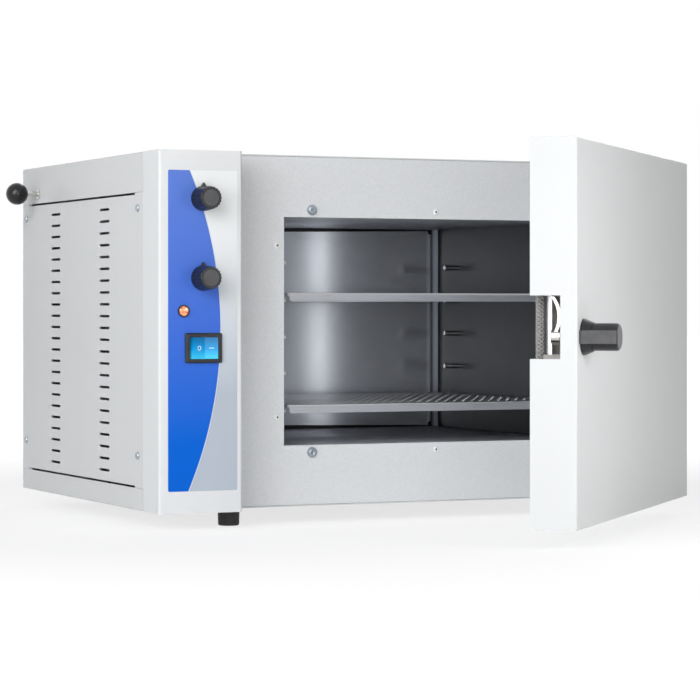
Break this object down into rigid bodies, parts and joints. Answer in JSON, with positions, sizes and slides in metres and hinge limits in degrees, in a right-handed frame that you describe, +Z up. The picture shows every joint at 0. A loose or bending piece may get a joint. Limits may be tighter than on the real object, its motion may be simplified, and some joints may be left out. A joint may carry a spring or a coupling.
{
  "type": "laboratory oven",
  "caption": "Bench-top laboratory drying oven with a side-hung door standing open, pull-out perforated shelves, dials, rocker switch and push-pull vent.",
  "frame": {"origin": "on the bench, midway between the four feet", "axes": "+Z up, -Y towards the front with the controls and the door, +X to the right seen from the front"},
  "size_m": [0.6146, 0.7557, 0.361],
  "materials": {
    "case_paint": "gloss white powder coat",
    "panel_paint": "white orange-peel coat",
    "stainless": "brushed",
    "film": "printed film",
    "zinc": "zinc plated",
    "white_rivet": "painted",
    "rubber": "matt",
    "black_plastic": "satin",
    "grey_plastic": "satin",
    "black_ball": "gloss",
    "nickel": "nickel plated",
    "board": "fibre board",
    "rope": "braided glass rope",
    "heater": "oxidised",
    "copper": "bare",
    "orange_lens": "translucent",
    "blue_lens": "translucent",
    "ceramic": "matt",
    "wire": "silicone"
  },
  "bodies": {
    "oven": {"top_cover": "case_paint", "base_pan": "case_paint", "left_side_panel": "case_paint", "right_side_panel": "case_paint", "front_panel": "panel_paint", "rear_panel": "case_paint", "control_box": "case_paint", "control_film": "film", "cradle_rails": "zinc", "rubber_feet": "rubber", "case_screws": "zinc", "chamber_liner": "stainless", "chamber_back_wall": "stainless", "chamber_insulation": "board", "shelf_studs": "stainless", "heating_element": "heater", "thermostat_bulb": "copper", "front_rivets": "white_rivet", "flange_screws": "zinc", "vent_duct": "stainless", "damper_bush": "nickel", "timer_body": "grey_plastic", "thermostat_body": "grey_plastic", "lamp_body": "black_plastic", "lamp_lens": "orange_lens", "switch_frame": "black_plastic", "terminal_block": "ceramic", "mains_inlet": "black_plastic", "capillary": "copper", "wiring": "wire", "latch_striker": "zinc", "lower_hinge_case_leaf": "stainless", "upper_hinge_case_leaf": "stainless", "hinge_pins": "zinc"},
    "door": {"door_shell": "case_paint", "door_inner_panel": "stainless", "door_insulation": "board", "door_gasket": "rope", "door_screws": "zinc", "latch_bush": "nickel", "lower_hinge_door_leaf": "stainless", "upper_hinge_door_leaf": "stainless"},
    "latch": {"latch_shaft": "zinc", "latch_arm": "nickel", "door_knob": "black_plastic", "knob_pointer": "grey_plastic"},
    "timer_dial": {"timer_knob": "black_plastic", "timer_knob_cap": "grey_plastic", "timer_spindle": "zinc"},
    "thermostat_dial": {"thermostat_knob": "black_plastic", "thermostat_knob_cap": "grey_plastic", "thermostat_spindle": "zinc"},
    "rocker": {"switch_rocker": "blue_lens"},
    "damper": {"damper_rod": "nickel", "damper_ball": "black_ball", "damper_plate": "stainless", "damper_nut": "zinc"},
    "shelf_lower": {"lower_shelf": "stainless"},
    "shelf_upper": {"upper_shelf": "stainless"}
  },
  "joints": [
    {"name": "door_swing", "type": "hinge", "parent": "oven", "child": "door", "pos_m": [0.2788, -0.1848, 0.187], "axis": [0, 0, 1], "range_deg": [-46.4, 103.6]},
    {"name": "latch_turn", "type": "hinge", "parent": "door", "child": "latch", "pos_m": [0.00302, -0.53501, 0.184], "axis": [0.7242, -0.6896, 0], "range_deg": [0, 90]},
    {"name": "timer_turn", "type": "hinge", "parent": "oven", "child": "timer_dial", "pos_m": [-0.2305, -0.2266, 0.3117], "axis": [0, 1, 0], "range_deg": [0, 300]},
    {"name": "thermostat_turn", "type": "hinge", "parent": "oven", "child": "thermostat_dial", "pos_m": [-0.2305, -0.2266, 0.2372], "axis": [0, 1, 0], "range_deg": [0, 300]},
    {"name": "switch_rock", "type": "hinge", "parent": "oven", "child": "rocker", "pos_m": [-0.2298, -0.2254, 0.17165], "axis": [0, 0, 1], "range_deg": [-16, 0]},
    {"name": "damper_slide", "type": "slide", "parent": "oven", "child": "damper", "axis": [-1, 0, 0], "range_m": [-0.01, 0.018]},
    {"name": "lower_shelf_slide", "type": "slide", "parent": "oven", "child": "shelf_lower", "axis": [0, -1, 0], "range_m": [0, 0.07]},
    {"name": "upper_shelf_slide", "type": "slide", "parent": "oven", "child": "shelf_upper", "axis": [0, -1, 0], "range_m": [0, 0.07]}
  ]
}
